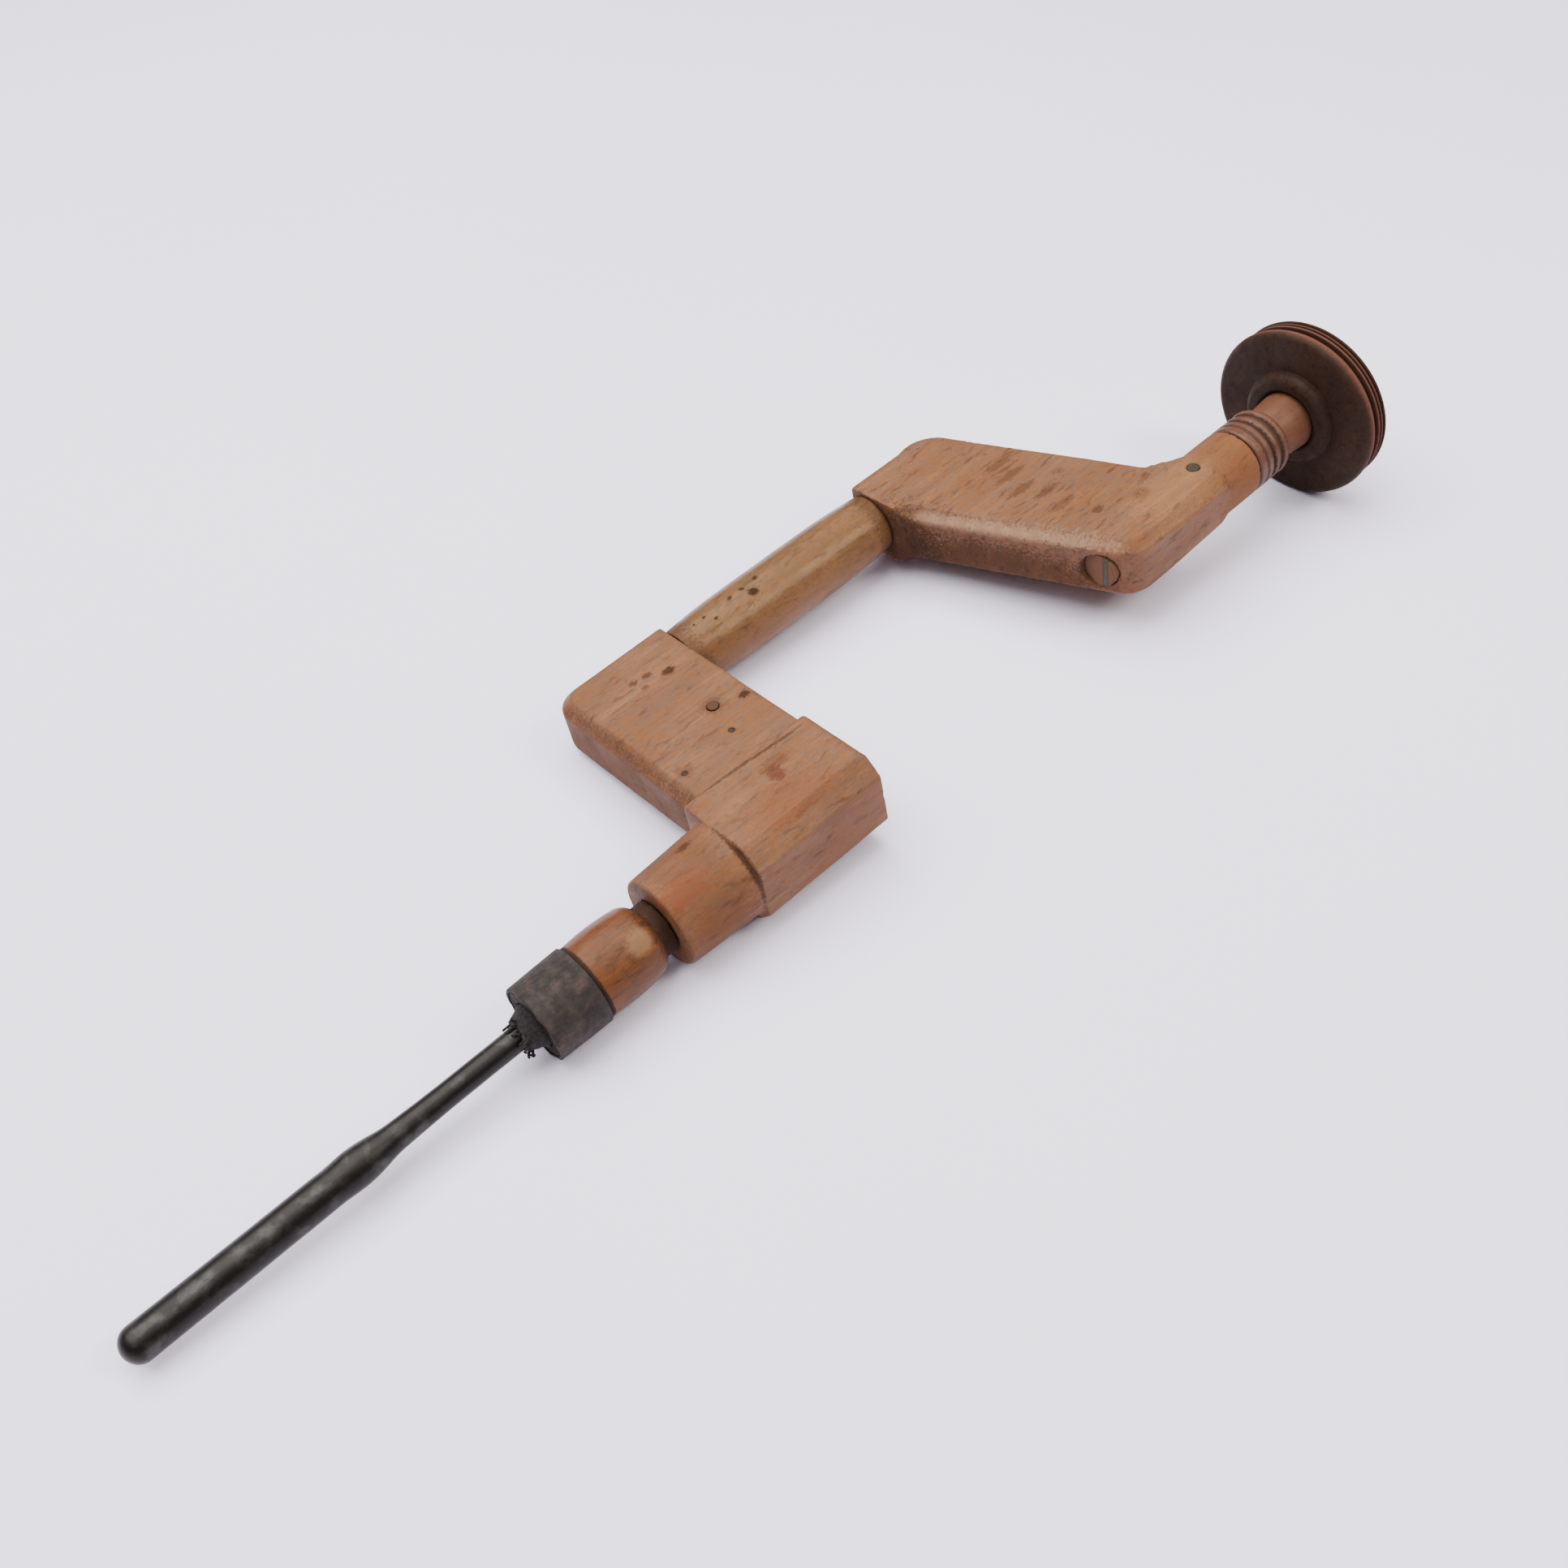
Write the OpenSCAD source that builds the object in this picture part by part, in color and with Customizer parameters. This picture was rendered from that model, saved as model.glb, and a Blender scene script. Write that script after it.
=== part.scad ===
// Traditional wooden bit brace: a foot with a tapered square socket, a flat lower arm, a turned grip,
// a slanting upper arm with a neck, a head that turns on its spindle, and a pad that holds a spoon bit.
// X is the axis of rotation, from the socket mouth to the head. Y points from it to the grip, and Z
// stands out of the plane of the crank. The origin is the middle of the socket mouth. Millimetres.

/* [Crank] */
// Distance from the axis of rotation to the middle of the grip
throw = 96.5; // [85:0.5:110]
// Length of the grip between the two arms
grip_l = 107; // [90:1:130]
// Distance from the middle of the grip to the outer face of the lower arm
arm_over = 13.7; // [12:0.1:17]
// Distance from the middle of the grip to the outer face of the upper arm
upper_over = 10.6; // [10.4:0.2:14]
// Width of both arms along the axis
arm_w = 54.4; // [48:0.2:62]
// Lean of the upper arm towards the head, in degrees
lean = 21.5; // [16:0.5:26]

/* [Foot] */
// Thickness of the square block, across and out of the crank
foot_t = 39; // [35:1:44]
// Bevel on the two outer long edges of the block
foot_bevel = 8; // [3:0.5:10]
// Length of the round boss in front of the block
boss_l = 32; // [26:1:40]
// Diameter of the boss at the socket mouth
boss_d = 36.2; // [32:0.2:38]
// Side of the square socket at its mouth
socket_w = 14.6; // [12:0.2:16]
// Side of the socket at its inner end
socket_end_w = 11; // [9:0.2:12]
// Depth of the socket
socket_l = 47; // [36:1:50]

/* [Lower arm] */
// Thickness of the lower arm
arm_t = 27; // [22:0.5:30]
// How far the lower arm is set back from the front face of the foot block
arm_set = 5; // [2:0.5:7]
// Chamfer on the front and outer edges of the lower arm
arm_chamfer = 4.8; // [3:0.2:6]
// Radius of the outer front corner of the lower arm
arm_corner = 11; // [9:1:16]
// Thickness of the loose tongue that joins foot and arm
tongue_t = 9; // [7:0.5:10]
// Length of the tongue along the axis
tongue_w = 45; // [38:1:47]
// Depth of the tongue in the foot
tongue_in_foot = 10; // [7:0.5:10]
// Depth of the tongue in the lower arm
tongue_in_arm = 43; // [34:1:46]
// Diameter of the two nails through arm and tongue
nail_d = 2.4; // [1.8:0.2:3]
// Diameter of the wooden peg through arm and tongue
peg_d = 4.6; // [4:0.2:6]

/* [Grip] */
// Diameter of the grip in its middle
grip_d = 29; // [26:0.5:31]
// Diameter of the grip at both ends
grip_end_d = 26.2; // [24:0.2:28]
// Length of the straight middle stretch of the grip
grip_mid_l = 36; // [24:1:48]
// Diameter of the tenons of the grip
tenon_d = 17; // [14:0.5:19]
// Length of the tenons of the grip
tenon_l = 34; // [24:1:38]

/* [Upper arm] */
// Thickness of the upper arm
upper_t = 29; // [26:0.5:31]
// Chamfer on the lower edges of the upper arm
upper_chamfer = 4.6; // [3:0.2:6]
// Chamfer of the neck where it meets the collar
neck_chamfer = 7; // [5:0.5:8]
// Radius of the outer knee of the upper arm
knee_r = 15; // [10:1:20]
// Radius of the lower corner where arm and neck meet
heel_r = 13; // [10:1:16]
// Width of the square neck
neck_w = 30; // [27:0.5:32]
// Length of the square neck, from the inner corner to the collar
neck_l = 17; // [12:1:24]
// Length of the round collar at the neck's end
collar_l = 19; // [14:1:24]
// Diameter of the round collar
collar_d = 30.4; // [28:0.2:32]
// Diameter of the retaining pin in the neck
pin_d = 5.2; // [4:0.2:6]
// Distance from the retaining pin to the neck's end
pin_back = 25.5; // [22:0.5:28]

/* [Head] */
// Diameter of the head
head_d = 76; // [68:1:86]
// Thickness of the head at its rim
rim_t = 12.5; // [11:0.5:17]
// Height of the crown on the head's outer face
crown_h = 9; // [5:0.5:12]
// Diameter of the raised ring round the head's neck
ring_d = 40.6; // [36:0.2:46]
// Height of the raised ring
ring_h = 4.5; // [3:0.5:6]
// Diameter of the spindle in the neck
spindle_d = 15; // [13:0.5:17]
// Diameter of the slim part between collar and head
waist_d = 25; // [22:0.5:28]
// Length of the slim part between collar and head
waist_l = 20.4; // [16:0.2:28]
// Diameter of the ringed collar
bead_d = 30; // [28:0.2:32]
// Width of the ringed collar's first, broad ring
ring_w = 9; // [7:0.5:11]
// Width of each of the collar's two beads
bead_w = 5.2; // [4.4:0.2:6]
// Gap between the neck's end and the ringed collar
neck_gap = 0.6; // [0.3:0.1:1]

/* [Pad and bit] */
// Length of the pad outside the socket
pad_l = 56; // [50:1:64]
// Largest diameter of the pad's barrel
pad_d = 30.2; // [28:0.2:32]
// Diameter of the pad's neck at the socket mouth
pad_neck_d = 21.2; // [20.8:0.2:23]
// Length of the iron ferrule
ferrule_l = 22.8; // [16:0.2:26]
// Outer diameter of the ferrule at its front
ferrule_d = 30.2; // [27:0.2:31]
// Wall of the ferrule
ferrule_wall = 1.6; // [1:0.1:2.5]
// Diameter of the spoon
spoon_d = 12; // [10.8:0.2:14]
// Turn of the spoon's open side round the axis, from straight down
spoon_turn = 40; // [0:5:180]
// Length of the spoon with its nose
spoon_l = 82; // [60:1:110]
// Diameter of the shank
shank_d = 8; // [7:0.2:9.6]
// Length of the bit outside the pad
bit_l = 155.4; // [130:0.2:190]
// Side of the bit's tang at its root
tang_w = 7; // [5:0.5:8]
// Length of the tang
tang_l = 42; // [30:1:46]
// Diameter of the packing round the tang
packing_d = 18; // [16:0.2:19]

/* [Fits] */
// Radial gap of the turning spindle
run_gap = 0.06; // [0.03:0.01:0.1]
// Gap round glued and driven pieces
glue_gap = 0.04; // [0.02:0.01:0.06]
// Gap between pieces that only pass each other
free_gap = 0.3; // [0.2:0.05:0.5]

/* [Hidden] */
$fn = 96;
eps = 0.01;
over = 1;                                 // how far a cut runs past a face
cross = 0.012;                            // rounds stand proud by this, so that they cross straight faces
ease = 0.8;                               // softened edge of worked wood
outer_ease = 1.4;                         // and of the upper arm's outer face
foot_ease = 1.8;                          // worn far edges of the foot
foot_l = arm_set + arm_w;                  // the foot's far end is flush with the arm
foot_end = boss_l + foot_l;
half_foot = foot_t / 2;
arm_x = boss_l + arm_set;                 // front face of the lower arm
arm_end = arm_x + arm_w;
arm_y = throw + arm_over;                 // outer face of the lower arm
upper_x = arm_end + grip_l;               // end face of the upper arm
upper_y = throw + upper_over;             // its outer face
tongue_x = (arm_x + arm_end) / 2;
inner_y = throw - grip_d / 2;             // inner side of the grip
neck_half = neck_w / 2;
lean_run = tan(lean);
heel_x = upper_x + (inner_y + neck_half) * lean_run;
knee_x = upper_x + arm_w - (upper_y - inner_y) * lean_run;
inner_x = upper_x + arm_w + (inner_y - neck_half) * lean_run;
collar_x = inner_x + neck_l;
neck_end = collar_x + collar_l;
pin_x = neck_end - pin_back;
bore_x = upper_x + inner_y * lean_run;    // where the axis leaves the arm's sloping face
spindle_x = bore_x + 0.5;                 // end of the spindle, about flush there
groove_d = 9.8;                           // bottom of the groove that holds the retaining pin
bead_x = neck_end + neck_gap;
waist_x = bead_x + ring_w + 2 * bead_w;
face_x = waist_x + waist_l;               // inner face of the head
head_tenon_d = 17;
head_tenon_l = 11;
kerf_w = 2.6;                             // wedge slot in the spindle's end
kerf_l = 20;
kerf_y = -3.2;
ferrule_grow = 0.5;                       // the ferrule's radius grows by this towards the pad
ferrule_x = -pad_l;
shoulder_x = ferrule_x + ferrule_l;       // where the ferrule meets the wood
nose_x = ferrule_x + 1;
tip_x = ferrule_x - bit_l;
spoon_r = spoon_d / 2;
flare_l = 20;                             // the spoon narrows to the shank over this length
nail_spots = [[-18.3, 17.1], [7.3, 20]];    // from the arm's middle and from the joint
peg_spot = [11, 35];

// Corner geometry: where a round of radius r touches the lines from p to a and from p to b
function unit(v) = v / norm(v);
function half_angle(a, p, b) = acos(unit(a - p) * unit(b - p)) / 2;
function touch(a, p, b, r) = p + unit(a - p) * r / tan(half_angle(a, p, b));
function centre(a, p, b, r) = p + unit(unit(a - p) + unit(b - p)) * r / sin(half_angle(a, p, b));

// A turned shape: the outline is given as [radius, place along the axis]
module turned() {
    rotate([0, 90, 0]) rotate_extrude() children();
}

// A plain rod along the axis
module rod(d, x0, x1) {
    translate([x0, 0, 0]) rotate([0, 90, 0]) cylinder(d = d, h = x1 - x0);
}

// A square taper along the axis: two wedges that cross
module square_taper(x0, w0, x1, w1) {
    side = [[x0, -w0 / 2], [x1, -w1 / 2], [x1, w1 / 2], [x0, w0 / 2]];
    intersection() {
        linear_extrude(height = w0 + 2 * over, center = true) polygon(side);
        rotate([90, 0, 0]) linear_extrude(height = w0 + 2 * over, center = true) polygon(side);
    }
}

// A cut of leg c along an edge of length l, with sloping stops of length stop_a and stop_b. The edge
// runs along X, and the wood lies below it and on its right. A stop of 0 runs past the end.
module edge_cut(l, c, stop_a, stop_b) {
    d = c / sqrt(2);
    run_a = stop_a > 0 ? stop_a : over;
    run_b = stop_b > 0 ? stop_b : over;
    in_a = stop_a > 0 ? stop_a : -over;
    in_b = stop_b > 0 ? stop_b : -over;
    rotate([45, 0, 0])
        linear_extrude(height = 2 * d + ease, center = true)
            polygon([[-run_a, d], [in_a, -d], [l - in_b, -d], [l + run_b, d]]);
}

// The same cut on the upper and lower edge of a board, from a to b with the wood on the right
module board_cut(a, b, half_t, c, stop_a = 0, stop_b = 0) {
    at_edges(a, b, half_t) edge_cut(norm(b - a), c, stop_a, stop_b);
}

// A cut that widens evenly from leg c_a at a to leg c_b at b, and ends there
module widening_cut(a, b, half_t, c_a, c_b) {
    l = norm(b - a);
    d_a = c_a / sqrt(2);
    d_b = c_b / sqrt(2);
    at_edges(a, b, half_t)
        rotate([45, 0, 0])
            linear_extrude(height = 2 * d_b + ease, center = true)
                polygon([[0, d_b], [0, -d_a], [l, -d_b], [l, d_b]]);
}

module at_edges(a, b, half_t) {
    for (side = [0, 1])
        mirror([0, 0, side])
            translate([a.x, a.y, half_t]) rotate([0, 0, atan2(b.y - a.y, b.x - a.x)]) children();
}

// The chamfer round an outer corner of a board, on both faces. It starts and ends a little inside the
// ends of the straight cuts.
module corner_cut(middle, r, half_t, c, from, turn) {
    inset = 1;
    reach = 1.3 * (r + over);
    top_r = r - c + 3 * cross;
    for (side = [0, 1])
        mirror([0, 0, side])
            translate([middle.x, middle.y, 0])
                rotate([0, 0, from])
                    intersection() {
                        rotate_extrude()
                            polygon([[top_r, half_t], [r + over, half_t - (r + over - top_r)],
                                     [r + over, half_t + over], [top_r, half_t + over]]);
                        linear_extrude(height = half_t + 2 * over)
                            polygon([[0, 0], for (a = [inset, turn / 2, turn - inset])
                                                 reach * [cos(a), sin(a)]]);
                    }
}

module foot_block() {
    color("#a9764f")
    difference() {
        union() {
            translate([boss_l, -half_foot, -half_foot]) cube([foot_l, foot_t, foot_t]);
            turned() polygon([[0, 0], [boss_d / 2 - ease, 0], [boss_d / 2, ease],
                              [half_foot, boss_l], [half_foot, boss_l + over], [0, boss_l + over]]);
        }
        board_cut([foot_end, -half_foot], [boss_l, -half_foot], half_foot, foot_bevel);
        board_cut([foot_end, half_foot], [foot_end, -half_foot + foot_bevel], half_foot, foot_ease);
        board_cut([boss_l, half_foot], [foot_end, half_foot], half_foot, ease);
        square_taper(0, socket_w, socket_l, socket_end_w);
        translate([-over, -socket_w / 2, -socket_w / 2]) cube([over + eps, socket_w, socket_w]);
        tongue_space(0);
    }
}

module tongue_space(gap) {
    translate([tongue_x - tongue_w / 2 + gap, half_foot - tongue_in_foot + gap, -tongue_t / 2 + gap])
        cube([tongue_w - 2 * gap, tongue_in_foot + tongue_in_arm - 2 * gap, tongue_t - 2 * gap]);
}

module at_nails() {
    for (spot = nail_spots) translate([tongue_x + spot.x, half_foot + spot.y, 0]) children();
}

module at_peg() {
    translate([tongue_x + peg_spot.x, half_foot + peg_spot.y, 0]) children();
}

module joint_tongue() {
    color("#b98a5c")
    difference() {
        tongue_space(glue_gap);
        at_nails() cylinder(d = nail_d, h = tongue_t + over, center = true);
        at_peg() cylinder(d = peg_d, h = tongue_t + over, center = true);
    }
}

module lower_arm() {
    half_t = arm_t / 2;
    corner = [arm_x + arm_corner, arm_y - arm_corner];
    color("#a97c5c")
    difference() {
        union() {
            translate([arm_x, half_foot, -half_t]) cube([arm_w, corner.y - half_foot, arm_t]);
            translate([corner.x, half_foot, -half_t]) cube([arm_w - arm_corner, arm_y - half_foot, arm_t]);
            translate([corner.x, corner.y, -half_t]) cylinder(r = arm_corner, h = arm_t);
        }
        board_cut([arm_x, half_foot], [arm_x, corner.y], half_t, arm_chamfer);
        corner_cut(corner, arm_corner, half_t, arm_chamfer, 90, 90);
        board_cut([corner.x, arm_y], [arm_end, arm_y], half_t, arm_chamfer);
        board_cut([arm_end, arm_y], [arm_end, half_foot], half_t, ease);
        tongue_space(0);
        at_nails() cylinder(d = nail_d, h = arm_t + over, center = true);
        at_peg() cylinder(d = peg_d, h = arm_t + over, center = true);
        translate([0, throw, 0]) rod(tenon_d, arm_end - tenon_l, arm_end + over);
    }
}

module joint_nails() {
    color("#4b4038")
    at_nails() cylinder(d = nail_d - 2 * glue_gap, h = arm_t - 2 * ease, center = true);
}

module tongue_peg() {
    color("#8c6242")
    at_peg() cylinder(d = peg_d - 2 * glue_gap, h = arm_t, center = true);
}

// The grip is a straight round stretch that falls off to both ends on a wide arc
module grip() {
    taper_l = (grip_l - grip_mid_l) / 2;
    drop = (grip_d - grip_end_d) / 2;
    arc_r = (taper_l * taper_l + drop * drop) / (2 * drop);
    color("#a8794f")
    translate([arm_end, throw, 0]) {
        turned() {
            translate([0, taper_l]) square([grip_d / 2, grip_mid_l]);
            for (end = [0, 1])
                intersection() {
                    translate([grip_d / 2 - arc_r, taper_l + end * grip_mid_l]) circle(r = arc_r, $fn = 720);
                    translate([0, end * (taper_l + grip_mid_l)]) square([grip_d, taper_l]);
                }
        }
        rod(tenon_d - 2 * glue_gap, -tenon_l + over, grip_l + tenon_l - over);
    }
}

// Outline of upper arm and neck, with the knee and the heel rounded and a small fillet between them
module upper_outline() {
    outer = [upper_x, upper_y];
    mouth = [upper_x, inner_y];
    heel = [heel_x, -neck_half];
    neck_low = [collar_x, -neck_half];
    neck_top = [collar_x, neck_half];
    inner = [inner_x, neck_half];
    knee = [knee_x, upper_y];
    fillet = 3;
    difference() {
        union() {
            polygon([outer, mouth, touch(mouth, heel, neck_low, heel_r), touch(neck_low, heel, mouth, heel_r),
                     neck_low, neck_top, touch(neck_top, inner, knee, fillet),
                     touch(knee, inner, neck_top, fillet),
                     touch(inner, knee, outer, knee_r), touch(outer, knee, inner, knee_r)]);
            translate(centre(mouth, heel, neck_low, heel_r)) circle(r = heel_r);
            translate(centre(outer, knee, inner, knee_r)) circle(r = knee_r);
        }
        translate(centre(neck_top, inner, knee, fillet)) circle(r = fillet);
    }
}

// The chamfer round the heel, from its start angle through its turn
module heel_cut(middle, r, half_t, c, from, turn) {
    for (side = [0, 1])
        mirror([0, 0, side])
            translate([middle.x, middle.y, 0])
                rotate([0, 0, from])
                    rotate_extrude(angle = turn)
                        polygon([[r - c, half_t], [r, half_t - c], [r + over, half_t - c],
                                 [r + over, half_t + over], [r - c, half_t + over]]);
}

// Upper arm and neck: one board of sloping outline, with a round collar on its end
module upper_arm() {
    half_t = upper_t / 2;
    outer = [upper_x, upper_y];
    mouth = [upper_x, inner_y];
    heel = [heel_x, -neck_half];
    neck_low = [collar_x, -neck_half];
    neck_top = [collar_x, neck_half];
    inner = [inner_x, neck_half];
    knee = [knee_x, upper_y];
    heel_start = touch(mouth, heel, neck_low, heel_r);
    heel_end = touch(neck_low, heel, mouth, heel_r);
    heel_c = centre(mouth, heel, neck_low, heel_r);
    knee_start = touch(outer, knee, inner, knee_r);
    pommel_l = 10;
    pommel_h = 3;
    color("#a97c5c")
    difference() {
        union() {
            linear_extrude(height = upper_t, center = true) upper_outline();
            rod(collar_d, collar_x - over, neck_end);
        }
        board_cut(heel_start, mouth, half_t, upper_chamfer, 0, upper_chamfer);
        heel_cut(heel_c, heel_r, half_t, upper_chamfer, 180 + lean, 90 - lean);
        board_cut(neck_low, heel_end, half_t, upper_chamfer);
        mirror([0, 1, 0])
            widening_cut([heel_end.x + 2, neck_half], [collar_x, neck_half], half_t,
                         upper_chamfer - 0.5, neck_chamfer);
        widening_cut([inner_x + 2.5, neck_half], [collar_x, neck_half], half_t, 1.2, neck_chamfer);
        board_cut(outer, knee_start, half_t, outer_ease, 0, 6);
        // The corners of the square neck run out on a cone to the round collar
        turned() polygon([[collar_d / 2, collar_x], [collar_d / 2 + pommel_h, collar_x - pommel_l],
                          [neck_w, collar_x - pommel_l], [neck_w, collar_x]]);
        rod(spindle_d + 2 * run_gap, upper_x, neck_end + over);
        translate([0, throw, 0]) rod(tenon_d, upper_x - over, upper_x + tenon_l);
        translate([pin_x, 0, 0]) cylinder(d = pin_d, h = half_t + over);
    }
}

module neck_pin() {
    color("#3d3026")
    translate([pin_x, 0, groove_d / 2 + free_gap])
        cylinder(d = pin_d - 2 * glue_gap, h = upper_t / 2 - groove_d / 2 - free_gap - 0.4);
}

module kerf(gap) {
    slope = kerf_w * 3 / 8 / kerf_l;
    start = gap > 0 ? 0 : -over;
    half_start = kerf_w / 2 - start * slope - gap;
    half_end = kerf_w / 8 + gap * slope - gap;
    translate([spindle_x, kerf_y, 0])
        linear_extrude(height = spindle_d + over, center = true)
            polygon([[start, -half_start], [kerf_l - gap, -half_end],
                     [kerf_l - gap, half_end], [start, half_start]]);
}

module head_spindle() {
    bead_r = bead_d / 2;
    ring_round = 1.6;
    color("#8c5a3a")
    difference() {
        union() {
            rod(spindle_d, spindle_x, bead_x + eps);
            turned() difference() {
                union() {
                    translate([0, bead_x]) square([bead_r - bead_w / 4, waist_x - bead_x]);
                    translate([0, bead_x + ring_round]) square([bead_r, ring_w - 2 * ring_round]);
                    for (x = [ring_round, ring_w - ring_round])
                        translate([bead_r - ring_round, bead_x + x]) circle(r = ring_round);
                    for (i = [0.5, 1.5])
                        translate([bead_r - bead_w / 2, bead_x + ring_w + i * bead_w]) circle(d = bead_w);
                    polygon([[0, waist_x], [waist_d / 2 - 1, waist_x], [waist_d / 2, waist_x + waist_l * 0.6],
                             [waist_d / 2 + 0.8, face_x], [0, face_x]]);
                }
                translate([-bead_d, bead_x - bead_w]) square([bead_d, face_x]);
            }
            rod(head_tenon_d - 2 * glue_gap, face_x - over, face_x + head_tenon_l);
        }
        turned() translate([groove_d / 2, pin_x - pin_d / 2 - free_gap])
            square([spindle_d, pin_d + 2 * free_gap]);
        kerf(0);
    }
}

module spindle_wedge() {
    color("#5e4a38")
    intersection() {
        kerf(glue_gap);
        rod(spindle_d, spindle_x - over, spindle_x + kerf_l);
    }
}

module head_disc() {
    r = head_d / 2;
    bead = 6;
    ridge = 2;
    crown_r = (r * r + crown_h * crown_h) / (2 * crown_h);
    back_x = face_x + rim_t;
    color("#5a3a2c")
    turned() difference() {
        union() {
            translate([0, face_x]) square([r - bead / 2, rim_t]);
            translate([r - bead / 2, face_x + bead / 2]) circle(d = bead);
            for (x = [bead + ridge * 0.75 : ridge : rim_t - ridge / 2])
                translate([r - bead / 2, face_x + x]) square([bead / 2 - 0.7, ridge * 0.55]);
            intersection() {
                translate([0, back_x + crown_h - crown_r]) circle(r = crown_r, $fn = 360);
                translate([0, back_x - eps]) square([r - bead / 2, crown_h + over]);
            }
            // The raised ring round the neck is a low half round
            intersection() {
                translate([ring_d / 4 + waist_d / 4, face_x]) circle(r = (ring_d - waist_d) / 4 + 0.9);
                translate([waist_d / 2 + 0.8 + glue_gap, face_x - ring_h]) square([ring_d, ring_h + over]);
            }
        }
        translate([0, face_x - ring_h]) square([head_tenon_d / 2, ring_h + head_tenon_l + glue_gap]);
        translate([-head_d, face_x - head_d]) square([head_d, 2 * head_d]);
    }
}

// The pad's barrel is a wide arc that rolls off at the back to a short neck
module pad() {
    arc_r = 96;
    roll_r = 7;
    mid_x = -23;
    roll_x = -11.5;
    arc_c = pad_d / 2 - arc_r;
    roll_c = arc_c + sqrt(pow(arc_r - roll_r, 2) - pow(roll_x - mid_x, 2));
    join_x = mid_x + (roll_x - mid_x) * arc_r / (arc_r - roll_r);
    wall = ferrule_wall + glue_gap;
    color("#935a3a")
    difference() {
        union() {
            turned() difference() {
                union() {
                    polygon([[0, nose_x], [ferrule_d / 2 - wall, nose_x],
                             [ferrule_d / 2 + ferrule_grow - wall, shoulder_x + eps], [0, shoulder_x + eps]]);
                    intersection() {
                        translate([arc_c, mid_x]) circle(r = arc_r, $fn = 720);
                        translate([0, shoulder_x]) square([pad_d, join_x - shoulder_x]);
                    }
                    translate([roll_c, roll_x]) circle(r = roll_r);
                    translate([0, join_x - eps]) square([roll_c, roll_x + roll_r - join_x + eps]);
                    translate([0, join_x - eps]) square([pad_neck_d / 2, -join_x - free_gap + eps]);
                }
                translate([-4 * arc_r, -2 * arc_r]) square([4 * arc_r, 4 * arc_r]);
            }
            pad_spigot();
        }
        turned() packing_outline(0);
        square_taper(nose_x, tang_w, nose_x + tang_l, tang_w * 0.45);
    }
}

// The spigot is the socket's own taper, smaller all round by the gap, and stops short of its end
module pad_spigot() {
    gap = run_gap + glue_gap;
    fall = (socket_w - socket_end_w) / socket_l;
    square_taper(-free_gap - over, socket_w - 2 * gap + fall * (free_gap + over) - 2 * over * fall,
                 socket_l - over, socket_end_w - 2 * gap + fall * over);
}

module ferrule() {
    front = ferrule_d / 2;
    back = front + ferrule_grow;
    color("#55504c")
    turned() polygon([[front - ferrule_wall, ferrule_x], [front - 0.3, ferrule_x], [front, ferrule_x + 0.4],
                      [back, shoulder_x - free_gap], [back - ferrule_wall, shoulder_x - free_gap]]);
}

module bit() {
    spoon_end = tip_x + spoon_l;
    rim_z = 0.6;
    wall = 1.4;
    hollow_r = spoon_r - wall;
    hollow_z = 1.2;
    lift_r = 20;
    lift_x = spoon_end - 4;
    flare = [for (i = [0 : 10]) [shank_d / 2 + (spoon_r - shank_d / 2) * (1 + cos(i * 18)) / 2,
                                 spoon_end + flare_l * i / 10]];
    color("#3b3734")
    difference() {
        union() {
            translate([tip_x + spoon_r, 0, 0]) sphere(r = spoon_r);
            rod(spoon_d, tip_x + spoon_r, spoon_end + eps);
            turned() polygon(concat([[0, spoon_end]], flare, [[0, spoon_end + flare_l]]));
            rod(shank_d, spoon_end + flare_l - eps, nose_x);
            square_taper(nose_x - eps, tang_w - 2 * glue_gap, nose_x + tang_l - over,
                         tang_w * 0.45 - 2 * glue_gap);
        }
        rotate([spoon_turn, 0, 0]) {
            // Past the rim the spoon is open, and the opening runs out on a slope to the shank
            rotate([-90, 0, 0]) linear_extrude(height = 2 * spoon_d, center = true)
                polygon([[tip_x - over, rim_z], [spoon_end - 4, rim_z], [spoon_end + flare_l, spoon_r],
                         [spoon_end + flare_l, spoon_d], [tip_x - over, spoon_d]]);
            // The round hollow rises on an arc at its inner end
            translate([tip_x + spoon_r + 0.6, 0, -hollow_z]) {
                sphere(r = hollow_r);
                rotate([0, 90, 0]) cylinder(r = hollow_r, h = lift_x - tip_x - spoon_r - 0.6);
            }
            translate([lift_x, 0, -hollow_z - lift_r]) rotate([-90, -90, 0])
                rotate_extrude(angle = 50) translate([lift_r, 0]) circle(r = hollow_r);
        }
    }
}

// Half outline of the packing: a cone in front of the ferrule and a plug in the pad's nose
module packing_outline(gap) {
    front_x = ferrule_x - 5.6;
    r = packing_d / 2 - gap;
    polygon([[0, front_x], [r - 2.6, front_x], [r, ferrule_x], [r, nose_x + 8 - gap], [0, nose_x + 8 - gap]]);
}

module tang_packing() {
    color("#37302b")
    difference() {
        turned() packing_outline(glue_gap);
        rod(shank_d + 4 * glue_gap, ferrule_x - 6, nose_x + glue_gap);
        square_taper(nose_x - 2 * glue_gap, tang_w + 4 * glue_gap, nose_x + tang_l, tang_w * 0.45 + 4 * glue_gap);
    }
}

foot_block();
joint_tongue();
lower_arm();
joint_nails();
tongue_peg();
grip();
upper_arm();
neck_pin();
head_spindle();
spindle_wedge();
head_disc();
pad();
ferrule();
bit();
tang_packing();
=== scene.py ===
import bmesh
import bpy
import numpy as np
from mathutils import Matrix, Vector, noise


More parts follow.
